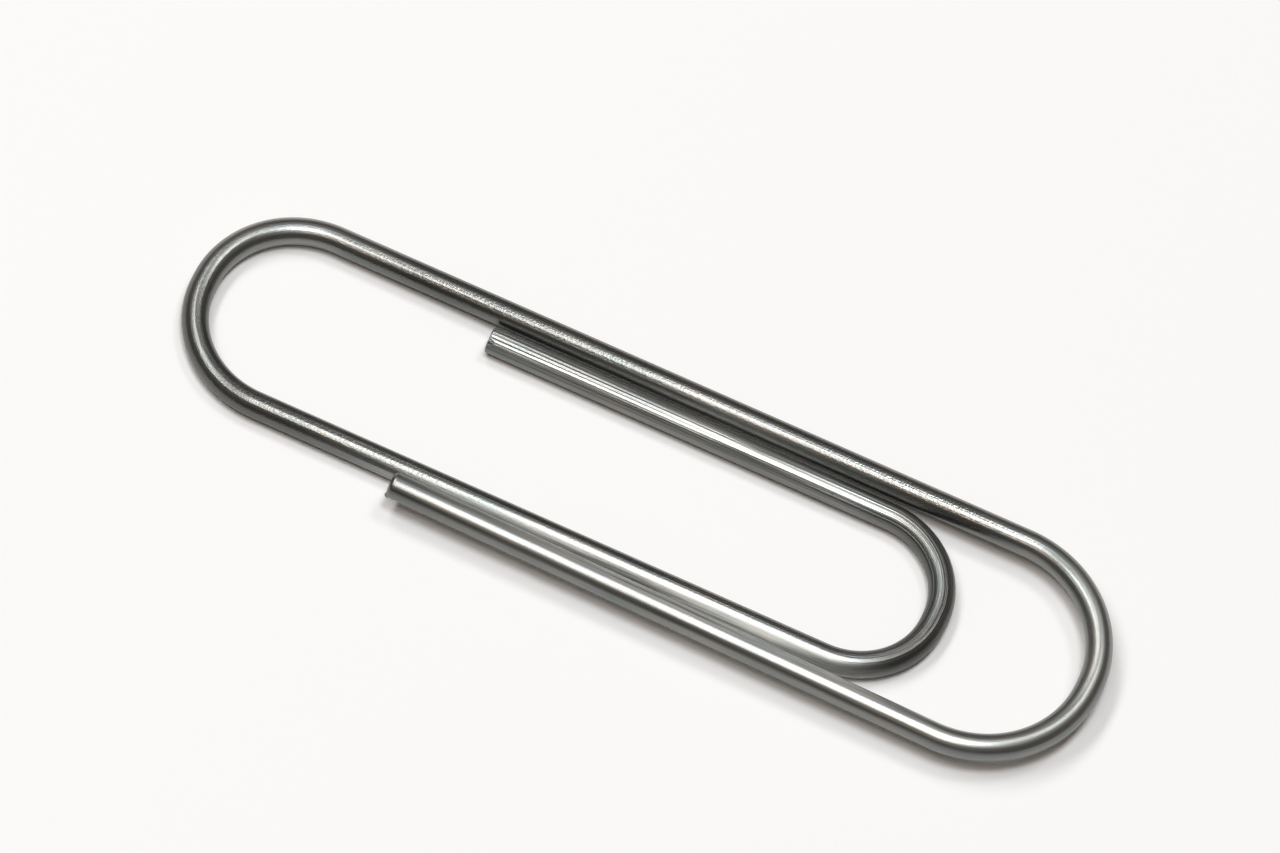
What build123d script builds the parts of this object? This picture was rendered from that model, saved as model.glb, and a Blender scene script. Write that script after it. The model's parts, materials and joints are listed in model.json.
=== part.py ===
"""A gem paper clip, bent from one length of zinc-plated drawn steel wire.

The clip lies as it was set down: its tongue is flat on the table, and its loop stands a little
proud of the tongue. The wire is followed as a bender feeds it, from the apex of the return bend,
first along the tongue and then along the loop. It is divided where a leg runs into a bend, and at
the apex of each bend, where the wire twists about its own centre line when the clip is opened.

Millimetres and degrees. +X runs from the return bend to the outer bend, +Y from the tongue leg to
the long leg, and +Z up. The origin is on the table, under the middle of the clip.
"""

import os
from math import cos, radians, sin

from build123d import *

# The wire, and the rim that the cutter rolls over at each free end
wire_diameter = 0.91
cut_rim_radius = 0.08

# Lengths of the legs that are set by themselves
long_leg_length = 24.9
outer_leg_length = 19.6
tip_leg_length = 14.5

# The return bend at the wire's centre line, and the short straight at the apex of every bend
return_bend_radius = 3.34
apex_run = 0.2

# Clear widths: tongue bend to outer bend, outer leg's end to tongue leg, tip leg to long leg
mouth_width = 4.65
outer_leg_gap = 0.03
tip_leg_gap = 0.02

# How far the long leg and the outer leg lean in towards the tongue
long_leg_closing = 0.35
outer_leg_closing = 1.05

# Twists left in the bends: they lift the loop from the tongue, and the outer leg from the loop
loop_lift = 0.9
outer_leg_lift = 1.0

quarter_turn = 90
LEFT = 1
RIGHT = -1

# Sizes that follow, in the flat clip, from the tongue leg's centre line and its start
wire_radius = wire_diameter / 2
half_apex_run = apex_run / 2
long_lean = radians(long_leg_closing)
outer_lean = radians(outer_leg_closing)
long_leg_start_y = return_bend_radius * (1 + cos(long_lean)) + apex_run
long_leg_end_y = long_leg_start_y - long_leg_length * sin(long_lean)
long_leg_end_x = return_bend_radius * sin(long_lean) + long_leg_length * cos(long_lean)

# The outer bend brings the outer leg's free end down beside the tongue leg
outer_leg_rise = outer_leg_length * sin(outer_lean)
outer_leg_below = wire_diameter + outer_leg_gap
outer_bend_span = long_leg_end_y + outer_leg_below + outer_leg_rise - apex_run
outer_bend_radius = outer_bend_span / (cos(long_lean) + cos(outer_lean))
outer_apex_x = long_leg_end_x + outer_bend_radius * (1 - sin(long_lean))

# The tongue bend brings the tip leg up beside the long leg, a mouth's width inside the outer bend
tongue_bend_span = long_leg_end_y - wire_diameter - tip_leg_gap - apex_run
tongue_bend_radius = tongue_bend_span / 2
tongue_leg_length = outer_apex_x - wire_diameter - mouth_width - tongue_bend_radius


def leg(section, length, cut=False):
    """A straight run of wire, its far rim rounded where it is cut, and the section where it ends."""
    run = extrude(Circle(wire_radius), length)
    if cut:
        rim = run.faces().sort_by(Axis.Z)[-1].edges()
        run = fillet(rim, cut_rim_radius)
    return section * run, section * Pos(0, 0, length)


def curve(section, radius, turn, side):
    """A turn about a pivot to one side of the wire, and the section where it ends."""
    pivot = side * radius
    run = revolve(Circle(wire_radius), Axis((pivot, 0, 0), (0, side, 0)), turn)
    swing = Pos(pivot, 0, 0) * Rot(0, side * turn, 0) * Pos(-pivot, 0, 0)
    return section * run, section * swing


def bend_from_apex(apex, radius, turn, side):
    """Half a bend, fed from its apex, and the section where it ends."""
    straight, section = leg(apex, half_apex_run)
    turned, section = curve(section, radius, turn, side)
    return straight + turned, section


def bend_to_apex(section, radius, turn, side):
    """Half a bend, fed to its apex, and the section there."""
    turned, section = curve(section, radius, turn, side)
    straight, apex = leg(section, half_apex_run)
    return turned + straight, apex


def twist(apex, angle):
    """The wire at an apex, turned about its own centre line."""
    return apex * Rot(0, 0, angle)


# A section of the wire has its own axes: x to the left of the feed, y up and z along the feed
return_apex = (-return_bend_radius, return_bend_radius + half_apex_run, wire_radius)
tongue_start = Plane(return_apex, x_dir=(1, 0, 0), z_dir=(0, -1, 0)).location
loop_start = Plane(return_apex, x_dir=(-1, 0, 0), z_dir=(0, 1, 0)).location

clip = {}

# The tongue, flat on the table
clip["return_bend_tongue_half"], section = bend_from_apex(
    tongue_start, return_bend_radius, quarter_turn, LEFT
)
clip["tongue_leg"], section = leg(section, tongue_leg_length)
clip["tongue_bend_leg_half"], tongue_apex = bend_to_apex(
    section, tongue_bend_radius, quarter_turn, LEFT
)
clip["tongue_bend_tip_half"], section = bend_from_apex(
    tongue_apex, tongue_bend_radius, quarter_turn, LEFT
)
clip["tip_leg"], section = leg(section, tip_leg_length, cut=True)

# The loop, lifted from the tongue by the twist in the return bend
clip["return_bend_long_half"], section = bend_from_apex(
    twist(loop_start, -loop_lift), return_bend_radius, quarter_turn + long_leg_closing, RIGHT
)
clip["long_leg"], section = leg(section, long_leg_length)
clip["outer_bend_long_half"], outer_apex = bend_to_apex(
    section, outer_bend_radius, quarter_turn - long_leg_closing, RIGHT
)

# The outer leg, whose free end is lifted by the twist in the outer bend
clip["outer_bend_free_half"], section = bend_from_apex(
    twist(outer_apex, -outer_leg_lift), outer_bend_radius, quarter_turn + outer_leg_closing, RIGHT
)
clip["outer_leg"], section = leg(section, outer_leg_length, cut=True)

# The origin goes to the table, under the middle of the clip
box = Compound(list(clip.values())).bounding_box()
to_origin = Pos(-box.center().X, -box.center().Y, -box.min.Z)

os.makedirs("parts", exist_ok=True)
for node, run in clip.items():
    export_step(to_origin * run, f"parts/{node}.step")

print("clip", box.size)
print("outer bend", outer_bend_radius, "tongue bend", tongue_bend_radius)
print("tongue leg", tongue_leg_length)
for bend, apex in {"return": tongue_start, "tongue": tongue_apex, "outer": outer_apex}.items():
    print(bend, "bend's apex", (to_origin * apex).position)
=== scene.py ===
# %% [markdown]
# # A gem paper clip of zinc-plated steel wire
# A gem clip is one length of thin drawn wire, bent three times the same way round. Nothing on it
# is painted or printed, so all that the eye has to go on is how a bright, slightly scratched wire
# mirrors the light, the table and itself. The lesson therefore spends its effort on three things:
# bends that are truly round, a surface that remembers how the wire was drawn, and a plain soft
# light.
#
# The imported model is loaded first. Its joints give the apex of each bend.

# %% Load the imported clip
import json
from math import atan2, cos, pi, radians, sin

import bmesh
import bpy
from mathutils import Matrix, Vector


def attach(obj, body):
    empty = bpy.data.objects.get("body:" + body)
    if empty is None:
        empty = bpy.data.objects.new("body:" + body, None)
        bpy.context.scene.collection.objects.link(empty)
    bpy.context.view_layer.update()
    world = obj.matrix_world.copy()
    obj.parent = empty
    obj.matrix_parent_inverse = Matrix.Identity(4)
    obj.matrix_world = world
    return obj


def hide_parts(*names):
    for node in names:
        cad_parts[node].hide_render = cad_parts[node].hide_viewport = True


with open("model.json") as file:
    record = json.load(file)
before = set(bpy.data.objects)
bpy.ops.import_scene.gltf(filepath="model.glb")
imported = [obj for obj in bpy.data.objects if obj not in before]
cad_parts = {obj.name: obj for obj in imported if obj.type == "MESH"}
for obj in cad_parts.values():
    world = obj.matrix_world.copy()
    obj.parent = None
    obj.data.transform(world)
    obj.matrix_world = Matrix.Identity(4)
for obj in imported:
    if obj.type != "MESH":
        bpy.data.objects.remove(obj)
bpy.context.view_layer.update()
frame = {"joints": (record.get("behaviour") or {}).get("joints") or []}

apexes = {joint["name"]: Vector(joint["pos_m"]) for joint in frame["joints"]}
mm = 0.001
print("apexes in mm", {name: [round(c / mm, 3) for c in at] for name, at in apexes.items()})

# %% [markdown]
# ## The wire's sizes
# The sizes are those of the solid clip, in millimetres turned to metres. The wire is 0.91 mm
# thick, which is usual for a clip of this length. A 64-sided ring is used for it: at this size the
# flat between two corners stands half a micron inside the true circle, so no mirror image breaks.

# %% Name the sizes
wire_radius = 0.455 * mm
sides = 64
bend_steps = 40

apex_run = 0.2 * mm
return_radius = 3.34 * mm
outer_radius = 3.91387 * mm
tongue_radius = 2.79892 * mm

long_leg = 24.9 * mm
outer_leg = 19.6 * mm
tongue_leg = 20.45098 * mm
tip_leg = 14.5 * mm

long_leg_closing = radians(0.35)
outer_leg_closing = radians(1.05)
loop_lift = radians(0.9)
outer_leg_lift = radians(1.0)
quarter = pi / 2
LEFT = 1
RIGHT = -1
print("wire", 2 * wire_radius / mm, "mm thick, ring of", sides)

# %% [markdown]
# ## Feeding and bending the wire
# A clip machine feeds straight wire and bends it round pins. The model does the same with
# Blender's own tools: a filled circle is the end of the wire, an extrusion feeds it, and Spin
# bends it round a pin. A curve with a round bevel would be quicker, but its rings slide along the
# path, and its ends can't be worked on as the cutter left them.
#
# Each ring also keeps a note of where it was on the straight wire, before it was bent: how far
# along, how far towards the inside of the bends, and how far up. The marks of drawing are painted
# by that note later, so they run round the bends with the wire. Spin copies the note from ring to
# ring, so only the distance along has to be written.

# %% Tools that feed and bend
feed_state = {}

def forward(heading):
    """The way that the wire is fed."""
    return Vector((cos(heading), sin(heading), 0))

def left(heading):
    """The left side of the wire as it is fed."""
    return Vector((-sin(heading), cos(heading), 0))

def note_distance(along):
    """Writes the distance along the wire into the ring that has just been made."""
    rings = bmesh.from_edit_mesh(bpy.context.object.data)
    note = rings.verts.layers.float_vector["straight_wire"]
    for point in rings.verts:
        if point.select:
            point[note].x = along

def start_wire(name, apex, heading, inside, along, way):
    """Adds the end of a wire at an apex, facing the way it is fed, and opens it for editing."""
    bpy.ops.object.select_all(action="DESELECT")
    bpy.ops.mesh.primitive_circle_add(vertices=sides, radius=wire_radius, fill_type="NGON",
                                      location=apex, rotation=(quarter, 0, heading + quarter))
    bpy.ops.object.transform_apply()
    wire = bpy.context.object
    wire.name = wire.data.name = name
    note = wire.data.attributes.new("straight_wire", "FLOAT_VECTOR", "POINT")
    for point in wire.data.vertices:
        out = point.co - apex
        note.data[point.index].vector = (along, inside * out.dot(left(heading)), out.z)
    bpy.ops.object.mode_set(mode="EDIT")
    bpy.ops.mesh.select_mode(type="FACE")
    bpy.ops.mesh.select_all(action="SELECT")
    feed_state.update(at=apex.copy(), heading=heading, side=inside, along=along, way=way)
    return wire

def feed(length):
    """Feeds straight wire, with a ring at least every millimetre."""
    s = feed_state
    rings = int(length / mm) + 1
    step = forward(s["heading"]) * length / rings
    for ring in range(rings):
        bpy.ops.mesh.extrude_region_move(TRANSFORM_OT_translate={"value": step})
        s["at"] += step
        s["along"] += s["way"] * length / rings
        note_distance(s["along"])

def bend(radius, turn):
    """Bends the wire round a pin on its inner side, one narrow ring after another."""
    s = feed_state
    pin = s["at"] + left(s["heading"]) * radius * s["side"]
    axis = (0, 0, -s["side"])
    for ring in range(bend_steps):
        bpy.ops.mesh.spin(steps=1, angle=turn / bend_steps, center=pin, axis=axis)
        s["along"] += s["way"] * radius * turn / bend_steps
        note_distance(s["along"])
    s["heading"] += s["side"] * turn
    s["at"] = pin - left(s["heading"]) * radius * s["side"]

# %% [markdown]
# ## Cut ends
# The wire is cut off by a shear, which rolls the rim over on the side where the blade goes in. At
# this size it is only a soft dark line round each end, but without it the ends look sawn. The
# tip's end also has a small flat where the blade nipped it, and the outer leg's end a burr
# underneath. A bevel makes the rolled rim, a bisect of the faces near the end makes the flat, and
# the burr is a pull on a few points. The flat keeps crisp edges, because a smooth shade would hide
# so small a cut.

# %% Tools for the ends
rim_segments = 5
end_zone = 4 * mm
cut_threshold = 0.00001 * mm
hair = 0.001 * mm
same_facing = 0.9999

def roll_rim(width):
    """Rounds the rim of the end that is being fed, and writes the notes of the end anew."""
    s = feed_state
    bpy.ops.mesh.bevel(offset=width, segments=rim_segments, affect="EDGES")
    points = bmesh.from_edit_mesh(bpy.context.object.data)
    note = points.verts.layers.float_vector["straight_wire"]
    for point in points.verts:
        out = point.co - s["at"]
        if out.length < 2 * wire_radius:
            along = s["along"] + s["way"] * out.dot(forward(s["heading"]))
            point[note] = (along, s["side"] * out.dot(left(s["heading"])), out.z)

def nip(at, facing):
    """Slices a small flat from an end, and keeps its edges crisp."""
    faces = bmesh.from_edit_mesh(bpy.context.object.data)
    bpy.ops.mesh.select_all(action="DESELECT")
    for face in faces.faces:
        face.select = (face.calc_center_median() - at).length < end_zone
    faces.select_flush_mode()
    bpy.ops.mesh.bisect(plane_co=at, plane_no=facing, use_fill=True, clear_outer=True,
                        threshold=cut_threshold)
    faces = bmesh.from_edit_mesh(bpy.context.object.data)
    bpy.ops.mesh.select_all(action="DESELECT")
    for face in faces.faces:
        flat = abs((face.calc_center_median() - at).dot(facing)) < hair
        face.select = flat and abs(face.normal.dot(facing.normalized())) > same_facing
    faces.select_flush_mode()
    bpy.ops.mesh.mark_sharp()

def pull_burr(at, reach, pull):
    """Draws the points near one place out into a burr."""
    points = bmesh.from_edit_mesh(bpy.context.object.data)
    bpy.ops.mesh.select_mode(type="VERT")
    bpy.ops.mesh.select_all(action="DESELECT")
    for point in points.verts:
        point.select = (point.co - at).length < reach
    points.select_flush_mode()
    bpy.ops.transform.translate(value=pull)

# %% [markdown]
# ## Finishing a wire
# A finished wire is closed and smooth, and keeps a map of its surface. Across the map is round the
# wire, and up the map is along it. The cut ends are mapped as flat discs.

# %% Tools that map and finish a wire
full_turn = 2 * pi
merge_within = 0.0002 * mm
smooth_under = radians(30)

def unroll(wire):
    """Maps the sides of the wire round and along it, and its ends as discs."""
    note = wire.data.attributes["straight_wire"].data
    unrolled = wire.data.uv_layers.new(name="unrolled").data
    for face in wire.data.polygons:
        corners = face.loop_indices
        places = [note[wire.data.loops[corner].vertex_index].vector for corner in corners]
        alongs = [place.x for place in places]
        flat = max(alongs) - min(alongs) < hair
        first = atan2(places[0].z, places[0].y) / full_turn
        for corner, (along, inside, height) in zip(corners, places):
            round_wire = atan2(height, inside) / full_turn
            round_wire += round(first - round_wire)
            on_side = (round_wire, along / (full_turn * wire_radius))
            on_end = (inside / wire_radius, height / wire_radius)
            unrolled[corner].uv = on_end if flat else on_side

def finish_wire(wire, twists=()):
    """Closes the wire, twists it about the apexes, turns its faces out and smooths its sides."""
    bpy.ops.mesh.select_mode(type="FACE")
    bpy.ops.mesh.select_all(action="SELECT")
    bpy.ops.mesh.remove_doubles(threshold=merge_within)
    bpy.ops.mesh.normals_make_consistent(inside=False)
    bpy.ops.object.mode_set(mode="OBJECT")
    unroll(wire)
    for angle, apex in twists:
        twist = Matrix.Rotation(angle, 4, "Y")
        wire.data.transform(Matrix.Translation(apex) @ twist @ Matrix.Translation(-apex))
    bpy.ops.object.shade_smooth_by_angle(angle=smooth_under)
    low, high = ([round(c / mm, 3) for c in wire.bound_box[corner]] for corner in (0, 6))
    print(wire.name, len(wire.data.polygons), "faces,", low, "to", high)

# %% [markdown]
# ## The tongue
# The tongue is the inner U that goes behind the paper. It starts at the apex of the return bend,
# where the wire twists when the clip is opened, and ends at the apex of its own bend. From there
# the tip goes back beside the long leg. The two meet face to face, so the tip can be sprung by
# itself.

# %% Bend the tongue
return_apex = apexes["tongue_lift"]
tongue_length = apex_run + quarter * (return_radius + tongue_radius) + tongue_leg

tongue = start_wire("tongue_wire", return_apex, -quarter, LEFT, 0, 1)
feed(apex_run / 2)
bend(return_radius, quarter)
feed(tongue_leg)
bend(tongue_radius, quarter)
feed(apex_run / 2)
tongue_apex = feed_state["at"].copy()
finish_wire(tongue)
print("the tongue's apex is off by", (tongue_apex - apexes["tip_lift"]).length / mm, "mm")

# %% [markdown]
# The tip's last ring is a short one, just behind the rim, so that the roll of the rim stays at the
# end. The nip then takes a sliver off the upper near side.

# %% Bend the tip and cut it
tip_end_ring = 0.09 * mm
tip_rim = 0.07 * mm
nip_angle = radians(38)
nip_distance = 0.915 * wire_radius
nip_lean = Vector((-0.15, 0, 0))

tip = start_wire("tip_wire", tongue_apex, quarter, LEFT, tongue_length, 1)
feed(apex_run / 2)
bend(tongue_radius, quarter)
feed(tip_leg - tip_end_ring)
feed(tip_end_ring)
roll_rim(tip_rim)
nip_side = Vector((0, -sin(nip_angle), cos(nip_angle)))
nip(feed_state["at"] + nip_side * nip_distance, nip_side + nip_lean)
finish_wire(tip)

# %% [markdown]
# ## The loop
# The loop is fed the other way from the same apex and bends to the right, so the inside of its
# bends is still the side that faces the tongue. It is bent flat, and then the small twist that the
# return bend was left with lifts it from the tongue.

# %% Bend the loop
return_turn = quarter + long_leg_closing
outer_turn = quarter - long_leg_closing
loop_length = apex_run + return_turn * return_radius + long_leg + outer_turn * outer_radius

loop = start_wire("loop_wire", return_apex, quarter, RIGHT, 0, -1)
feed(apex_run / 2)
bend(return_radius, return_turn)
feed(long_leg)
bend(outer_radius, outer_turn)
feed(apex_run / 2)
flat_apex = feed_state["at"].copy()
finish_wire(loop, [(-loop_lift, return_apex)])

# %% [markdown]
# The outer leg goes on from the loop. It has a second twist of its own, a wider roll on its rim,
# and a burr on the lower near side of its end.

# %% Bend the outer leg and cut it
arm_end_ring = 0.18 * mm
arm_rim = 0.16 * mm
burr_place = Vector((0, -0.4, -0.3)) * mm
burr_reach = 0.16 * mm
burr_pull = Vector((-0.05, -0.02, -0.03)) * mm

arm = start_wire("outer_leg_wire", flat_apex, -quarter, RIGHT, -loop_length, -1)
feed(apex_run / 2)
bend(outer_radius, quarter + outer_leg_closing)
feed(outer_leg - arm_end_ring)
feed(arm_end_ring)
roll_rim(arm_rim)
pull_burr(feed_state["at"] + burr_place, burr_reach, burr_pull)
finish_wire(arm, [(outer_leg_lift, flat_apex), (-loop_lift, return_apex)])

# %% [markdown]
# ## From wires to bodies
# The solid clip has four bodies, and each wire takes the place of the solids of one body. It rides
# on that body, so when a hinge turns, the wire turns with it.

# %% Put each wire on its body
clip_wires = (loop, arm, tongue, tip)
for wire, body, nodes in (
    (loop, "loop", ("long_leg", "outer_bend_long_half", "return_bend_long_half")),
    (arm, "outer_arm", ("outer_leg", "outer_bend_free_half")),
    (tongue, "tongue", ("tongue_leg", "return_bend_tongue_half", "tongue_bend_leg_half")),
    (tip, "tip", ("tip_leg", "tongue_bend_tip_half")),
):
    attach(wire, body)
    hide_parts(*nodes)
    print(wire.name, "rides on", body)

# %% [markdown]
# ## Zinc-plated drawn steel
# Clip wire is low-carbon steel, drawn through dies and plated with a few microns of zinc. A metal
# has no colour of its own apart from the colour of its mirror image, so the base colour is a zinc
# grey and everything else is gloss and relief. All of it is painted by the note of the straight
# wire, because every mark on a real clip either ran along the wire before it was bent or came from
# use afterwards.

# %% Tools for materials
def linear(code):
    """An sRGB hex code as the linear colour that Blender works with."""
    parts = [int(code[i:i + 2], 16) / 255 for i in (1, 3, 5)]
    return (*[c / 12.92 if c <= 0.04045 else ((c + 0.055) / 1.055) ** 2.4 for c in parts], 1)

def add(tree, kind, settings=None, links=None):
    """Adds a node, gives it its settings, and links sockets of other nodes to its inputs."""
    node = tree.nodes.new(kind)
    for name, value in (settings or {}).items():
        if name in node.inputs:
            node.inputs[name].default_value = value
        else:
            setattr(node, name, value)
    for name, source in (links or {}).items():
        tree.links.new(source, node.inputs[name])
    return node

# %% [markdown]
# Drawing lines stretch a highlight across the wire, so the gloss is anisotropic, with its tangent
# round the wire. The note comes in as a vector: X is the way along the wire, Y the way towards the
# inside of its bends, and Z the way up.

# %% Start the finish
zinc = bpy.data.materials.new("zinc_plated_drawn_steel")
zinc.use_nodes = True
tree = zinc.node_tree
shader = tree.nodes["Principled BSDF"]
shader.inputs["Anisotropic"].default_value = 0.4
round_wire = add(tree, "ShaderNodeTangent", {"direction_type": "UV_MAP", "uv_map": "unrolled"})
tree.links.new(round_wire.outputs["Tangent"], shader.inputs["Tangent"])
noted = add(tree, "ShaderNodeAttribute", {"attribute_name": "straight_wire"})
straight = noted.outputs["Vector"]
wire_place = add(tree, "ShaderNodeSeparateXYZ", links={"Vector": straight}).outputs
print("finish", zinc.name, "is painted by", [place.name for place in wire_place])

# %% [markdown]
# The marks are made of three kinds of thing: a noise on the straight wire, a value carried from
# one range to another, and amounts that change along the wire. The whole wire lies between 63 mm
# on the loop's side of the return apex and 50 mm on the tongue's side.

# %% Tools for patterns and places
wire_start, wire_end = -63, 50

def pattern(along, across, detail, roughness):
    """Noise on the straight wire, with so many waves per millimetre along it and across it."""
    scale = (along / mm, across / mm, across / mm)
    scaled = add(tree, "ShaderNodeMapping", {"Scale": scale}, {"Vector": straight})
    noise = add(tree, "ShaderNodeTexNoise",
                {"Scale": 1.0, "Detail": detail, "Roughness": roughness},
                {"Vector": scaled.outputs["Vector"]})
    return noise.outputs["Fac"]

def between(value, low, high, to_low, to_high):
    """A value carried from one range to another, and held at its ends."""
    ranges = {"From Min": low, "From Max": high, "To Min": to_low, "To Max": to_high}
    return add(tree, "ShaderNodeMapRange", ranges, {"Value": value}).outputs["Result"]

def graded(share, none, full):
    """An amount that goes from none to full as a share goes from 0 to 1."""
    return between(share, 0.0, 1.0, none, full)

def combine(operation, one, other):
    """Two values added or multiplied."""
    node = add(tree, "ShaderNodeMath", {"operation": operation})
    tree.links.new(one, node.inputs[0])
    tree.links.new(other, node.inputs[1])
    return node.outputs["Value"]

def along_wire(stops):
    """Amounts that change along the wire: millimetres from the return apex, then four amounts."""
    whole = between(wire_place["X"], wire_start * mm, wire_end * mm, 0.0, 1.0)
    ramp = add(tree, "ShaderNodeValToRGB", links={"Fac": whole})
    while len(ramp.color_ramp.elements) < len(stops):
        ramp.color_ramp.elements.new(1.0)
    for stop, (along, *amounts) in zip(ramp.color_ramp.elements, stops):
        stop.position = (along - wire_start) / (wire_end - wire_start)
        stop.color = amounts
    return ramp.outputs

# %% [markdown]
# ## Lines, grain and waves
# The die leaves lines a few microns wide and centimetres long. Drawn that fine they would be lost
# between two pixels, so they are drawn some 60 microns wide here, which is the finest the picture
# holds. The plating grows in grains of a few microns, and for the same reason they are drawn at
# 80. Use adds scratches: they lie some 0.1 mm apart, and the metal between them stays smooth.
# The wire is also never quite straight or round: slow waves over some millimetres make a highlight
# swell and shrink along a leg, and a slow change of tone stands for plating of uneven thickness.

# %% Patterns on the straight wire
# Waves per millimetre along the wire and across it, then detail and roughness
fine_lines = pattern(0.15, 16, 2.0, 0.5)
deep_lines = pattern(0.04, 11, 2.0, 0.6)
scratch_noise = pattern(0.06, 9, 1.0, 0.6)
streaks = pattern(0.15, 9, 4.0, 0.75)
grain = pattern(13, 13, 2.0, 0.6)
tone = pattern(0.4, 2.5, 4.0, 0.6)
waves = pattern(0.12, 0.7, 1.0, 0.5)

scratch_edge, scratch_floor = 0.52, 0.57
scratches = between(scratch_noise, scratch_edge, scratch_floor, 0.0, 1.0)
print("patterns made,", len(tree.nodes), "nodes so far")

# %% [markdown]
# ## Wear along the wire
# One clip shows several finishes, because its parts are used differently. The long leg and the
# start of the tongue still have the grain of the plating and glitter a little. The outer bend and
# the far half of the return bend were stretched over a pin, which left them satin and bright. The
# tip slides over paper each time: it is rubbed to streaks along the wire and shines most. The
# tongue's bend was rubbed too, but has dulled since.

# %% Wear along the wire
# Millimetres from the return apex, then softness of the gloss, grain, rubbing, brightness
wear = along_wire((
    (-63, 0.5, 0.15, 0.1, 0.78),
    (-56, 0.6, 0.15, 0.1, 0.95),
    (-44, 0.6, 0.15, 0.1, 0.95),
    (-40, 0.8, 0.15, 0.1, 1.0),
    (-33, 0.8, 0.2, 0.1, 1.0),
    (-28, 0.2, 1.0, 0.15, 0.75),
    (-9, 0.2, 1.0, 0.15, 0.56),
    (-4, 0.4, 0.6, 0.1, 1.0),
    (-2, 0.4, 0.6, 0.1, 1.0),
    (1, 0.6, 0.7, 0.1, 0.6),
    (5, 0.2, 1.0, 0.2, 0.54),
    (25, 0.2, 0.5, 0.2, 0.75),
    (29, 0.8, 0.7, 0.7, 0.42),
    (33, 0.9, 0.5, 0.9, 0.55),
    (36, 1.0, 0.4, 1.0, 0.92),
))
brightness = wear["Alpha"]
wear_parts = add(tree, "ShaderNodeSeparateColor", links={"Color": wear["Color"]})
softness, grainy, rubbing = wear_parts.outputs
print("wear is mapped,", len(tree.nodes), "nodes so far")

# %% [markdown]
# The flanks of the wire never rub, so they keep less than a third of the rubbing on its top.
# Rubbing is also strongest towards the inside of the bends, because the next leg shields the
# outside. Scratches are found where the wire is rubbed.

# %% Rubbing round the wire
flank, crown = 0.5 * wire_radius, 0.9 * wire_radius
shielded, open_side = -0.7 * wire_radius, 0.2 * wire_radius
# How far up the wire a point is: it grades the rubbing here and the painted shade on the flanks
upper = between(wire_place["Z"], flank, crown, 0.0, 1.0)
inner = between(wire_place["Y"], shielded, open_side, 0.2, 1.2)
rubbed = combine("MULTIPLY", rubbing, graded(upper, 0.3, 1.0))
rubbed = combine("MULTIPLY", rubbed, inner)
scratched = combine("MULTIPLY", rubbed, scratches)
print("rubbing is mapped,", len(tree.nodes), "nodes so far")

# %% [markdown]
# ## Scuffs where two legs rub
# When the clip is pushed over paper, the tongue rubs along the outer leg and the tip along the
# long leg. So the outside of the inner wire and the inside of the outer wire are scuffed to a
# pale, matt, streaky grey. Scuffed metal is so rough that it scatters light much as chalk does,
# and the metallic value comes down there to give that.

# %% Scuffs where two legs rub
# Millimetres from the return apex, then how scuffed the wire is
contact_stops = (
    (-63, 0), (-59, 0.4), (-47, 0.7), (-42, 0), (-27, 0), (-20, 0.25), (-8, 0),
    (7, 0), (13, 0.6), (24, 1), (28, 0), (36, 0), (42, 0.2),
)
contact_ramp = along_wire([(along, amount, 0, 0, 1) for along, amount in contact_stops])
contact_parts = add(tree, "ShaderNodeSeparateColor", links={"Color": contact_ramp["Color"]})
# The scuffed side is the outside of the tongue and the inside of the loop
scuffed_side = between(wire_place["X"], -1 * mm, 1 * mm, 1.0, -1.0)
facing = combine("MULTIPLY", wire_place["Y"], scuffed_side)
touching = between(facing, -0.15 * wire_radius, 0.5 * wire_radius, 0.0, 1.0)
scuffed = combine("MULTIPLY", contact_parts.outputs["Red"], touching)
scuffed = combine("MULTIPLY", scuffed, between(streaks, 0.4, 0.58, 0.3, 1.0))
tree.links.new(graded(scuffed, 1.0, 0.4), shader.inputs["Metallic"])
print("scuffs are mapped,", len(tree.nodes), "nodes so far")

# %% [markdown]
# ## Colour and gloss
# Zinc is a slightly bluish grey where it is thick and a warmer one where the steel shows through,
# so the colour wanders between the two. Rubbed places are brighter. The lower flanks are darker
# as painted shade, which stands for a darker table mirrored along them. Scratches are darker too,
# partly with dirt held in them and partly with painted shade in their grooves, while scuffs are
# paler. The gloss is that of a drawn wire, about 0.25 in roughness, and softer where the wire was
# bent or rubbed.

# %% Colour
thick_zinc, thin_zinc = (0.3, "#979d9b"), (0.7, "#b0aea9")
colour = add(tree, "ShaderNodeValToRGB", links={"Fac": tone})
for stop, (position, code) in zip(colour.color_ramp.elements, (thick_zinc, thin_zinc)):
    stop.position = position
    stop.color = linear(code)
wear_and_painted_shade = combine("MULTIPLY", brightness, between(rubbed, 0.6, 1.0, 1.0, 1.6))
# Painted shade: the lower flanks keep 0.6 of the colour and stand for a darker table mirrored
# there
wear_and_painted_shade = combine("MULTIPLY", wear_and_painted_shade, graded(upper, 0.6, 1.0))
# Scratches darken the colour: partly dirt held in them, partly painted shade in their grooves
wear_and_painted_shade = combine("MULTIPLY", wear_and_painted_shade, graded(scratched, 1.0, 0.45))
wear_and_painted_shade = combine("ADD", wear_and_painted_shade, graded(scuffed, 0.0, 1.4))
bright = add(tree, "ShaderNodeVectorMath", {"operation": "SCALE"},
             {"Vector": colour.outputs["Color"], "Scale": wear_and_painted_shade})
tree.links.new(bright.outputs["Vector"], shader.inputs["Base Color"])

# %% Gloss
drawn_gloss = between(fine_lines, 0.3, 0.7, 0.22, 0.28)
rough = combine("ADD", drawn_gloss, graded(softness, 0.0, 0.1))
rough = combine("ADD", rough, graded(scuffed, 0.0, 0.25))
tree.links.new(rough, shader.inputs["Roughness"])
print("colour and gloss made,", len(tree.nodes), "nodes so far")

# %% [markdown]
# ## Relief
# The same patterns also tilt the surface a little, and on a mirror a tilt of one degree is seen at
# once. The depths are in millimetres: they are larger than on real wire by as much as the patterns
# are coarser, which keeps the slopes, and so the glitter and the streaks, about true.

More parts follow.
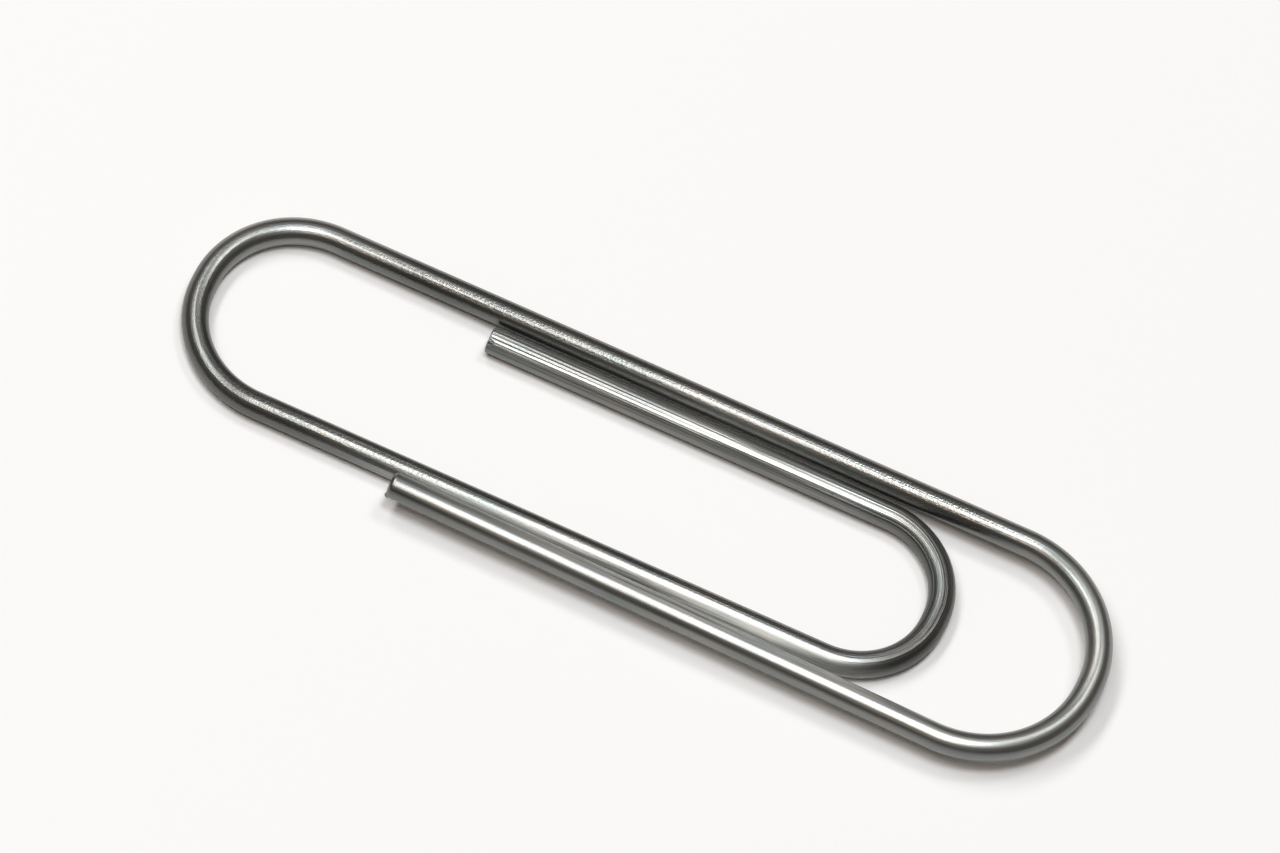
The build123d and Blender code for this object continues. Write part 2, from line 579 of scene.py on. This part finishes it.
# %% Relief
normal = None
for height, depth in (
    (waves, 0.02),
    (fine_lines, 0.004),
    (combine("MULTIPLY", deep_lines, rubbed), 0.065),
    (graded(scratched, 1.0, 0.0), 0.006),
    (combine("MULTIPLY", grain, grainy), 0.009),
):
    bump = add(tree, "ShaderNodeBump", {"Strength": 1.0, "Distance": depth * mm},
               {"Height": height})
    if normal:
        tree.links.new(normal, bump.inputs["Normal"])
    normal = bump.outputs["Normal"]
tree.links.new(normal, shader.inputs["Normal"])

for wire in clip_wires:
    wire.data.materials.clear()
    wire.data.materials.append(zinc)
print("finish", zinc.name, "with", len(tree.nodes), "nodes")

# %% [markdown]
# ## The table
# The clip lies on plain matt white card, which shows the shadows and is mirrored in the stripe
# along each wire's lower side; painted shade on the wire's flanks makes that stripe darker. The
# card has no gloss of its own.

# %% The table top
table_radius = 0.8
table_sides = 96
bpy.ops.object.select_all(action="DESELECT")
bpy.ops.mesh.primitive_circle_add(vertices=table_sides, radius=table_radius, fill_type="NGON",
                                  location=(0, 0, 0))
table = bpy.context.object
table.name = "table_top"
paper = bpy.data.materials.new("matt_white_card")
paper.use_nodes = True
card = paper.node_tree.nodes["Principled BSDF"]
card.inputs["Base Color"].default_value = linear("#fdfdfc")
card.inputs["Roughness"].default_value = 0.9
card.inputs["Specular IOR Level"].default_value = 0.0
table.data.materials.append(paper)
print(table.name, "is", 2 * table_radius, "m across")

# %% [markdown]
# ## Keeping the table under the clip
# The clip springs to both sides. Pressed through to the far side, the tongue goes lower than the
# loop, and on a real table it would lift the loop rather than sink into the top. So the table top
# follows the lowest wire: a few geometry nodes take the box round the four wires, as they are
# posed, and lower the top by as much as the box reaches below zero. At rest the box starts at
# zero, and nothing moves.

# %% Keep the table under the clip
under = bpy.data.node_groups.new("table_under_clip", "GeometryNodeTree")
for way in ("INPUT", "OUTPUT"):
    under.interface.new_socket("Geometry", in_out=way, socket_type="NodeSocketGeometry")
top = add(under, "NodeGroupInput").outputs["Geometry"]
wires = add(under, "GeometryNodeJoinGeometry")
for wire in clip_wires:
    posed = add(under, "GeometryNodeObjectInfo",
                {"transform_space": "RELATIVE", "Object": wire})
    under.links.new(posed.outputs["Geometry"], wires.inputs["Geometry"])
box = add(under, "GeometryNodeBoundBox", links={"Geometry": wires.outputs["Geometry"]})
lowest = add(under, "ShaderNodeSeparateXYZ", links={"Vector": box.outputs["Min"]})
below = add(under, "ShaderNodeClamp", {"Min": -table_radius, "Max": 0.0},
            {"Value": lowest.outputs["Z"]})
drop = add(under, "ShaderNodeCombineXYZ", links={"Z": below.outputs["Result"]})
lowered = add(under, "GeometryNodeSetPosition",
              links={"Geometry": top, "Offset": drop.outputs["Vector"]})
add(under, "NodeGroupOutput", links={"Geometry": lowered.outputs["Geometry"]})
table.modifiers.new("under_the_clip", "NODES").node_group = under
print(table.name, "stays under", [wire.name for wire in clip_wires])

# %% [markdown]
# ## The light
# A wire shows a lamp as one bright line, so each lamp is placed for the line it makes. The
# overhead lamp gives the line along each leg, and the front lamp widens that line towards the
# viewer. The long side lamp is out of sight for the legs, and runs round the outer bend instead.
# The back lamp is caught by the return bend. The room is dim, which leaves the dark stripes beside
# the lines. Each level says how light that lamp alone would make a white card. With the room, the
# levels come to about 1.

# %% The lamps
lamp_distance = 0.7
across_legs = radians(-9.5)

def soft_lamp(name, towards, size, level, code, turn=0):
    """A soft lamp, which alone would light a white card to a given level."""
    towards = Vector(towards).normalized()
    across = Vector((0, 1, 0)).cross(towards).normalized()
    across = Matrix.Rotation(turn, 3, towards) @ across
    lamp = bpy.data.lights.new(name, "AREA")
    lamp.shape = "RECTANGLE"
    lamp.size, lamp.size_y = size
    lamp.color = linear(code)[:3]
    # A white card shows energy * towards.z / (pi * lamp_distance) ** 2, which is the level
    lamp.energy = level * pi * pi * lamp_distance ** 2 / towards.z
    holder = bpy.data.objects.new(name, lamp)
    bpy.context.scene.collection.objects.link(holder)
    holder.location = towards * lamp_distance
    facing_clip = Matrix((across, towards.cross(across), towards)).transposed()
    holder.rotation_euler = facing_clip.to_euler()
    print(name, "of", size, "m gives", level)

soft_lamp("overhead_lamp", (0.045, -0.05, 1), (0.154, 0.19), 0.36, "#f6faff", across_legs)
soft_lamp("front_lamp", (-0.08, -0.33, 0.94), (0.27, 0.14), 0.145, "#fff4ea", across_legs)
soft_lamp("side_lamp", (-0.47, 0.1, 0.88), (0.14, 0.6), 0.34, "#ffffff")
soft_lamp("back_lamp", (0.17, 0.4, 0.9), (0.14, 0.14), 0.115, "#ffffff")

# %% The room
room_level = 0.1
room = bpy.data.worlds.new("dim_room")
bpy.context.scene.world = room
room.use_nodes = True
walls = room.node_tree.nodes["Background"]
walls.inputs["Color"].default_value = linear("#ffece0")
walls.inputs["Strength"].default_value = room_level
print(room.name, "gives", room_level)

# %% [markdown]
# ## The camera
# The photograph is a close-up from above, a little from the right, with the camera turned by some
# 16 degrees so that the clip runs down across the picture. Its legs hardly converge, so the lens
# is long. The angles and the place were fitted to the outlines of the wire.

# %% The camera
view_from, view_height, view_roll = radians(9.088), radians(60.936), radians(15.924)
place = Vector((35.644, -226.9425, 418.1757)) * mm
level_share = cos(view_height)
back = Vector((sin(view_from) * level_share, -cos(view_from) * level_share, sin(view_height)))
level_right = Vector((0, 0, 1)).cross(back).normalized()
level_up = back.cross(level_right)
right = level_right * cos(view_roll) + level_up * sin(view_roll)
up = back.cross(right)

camera = bpy.data.cameras.new("camera")
camera.sensor_width = 36
camera.lens = 407.488
camera.clip_start = 0.01
camera.clip_end = 10
holder = bpy.data.objects.new("camera", camera)
bpy.context.scene.collection.objects.link(holder)
turned = Matrix((right, up, back)).transposed().to_4x4()
holder.matrix_world = Matrix.Translation(place) @ turned
bpy.context.scene.camera = holder
bpy.context.scene.view_settings.view_transform = "Standard"
print("camera", [round(c / mm, 1) for c in place], "mm")

# %% [markdown]
# ## The last update
# The scene is brought up to date once more. The dressed clip has to stay inside the box of the
# solid one.

# %% Bring the scene up to date
bpy.context.view_layer.update()
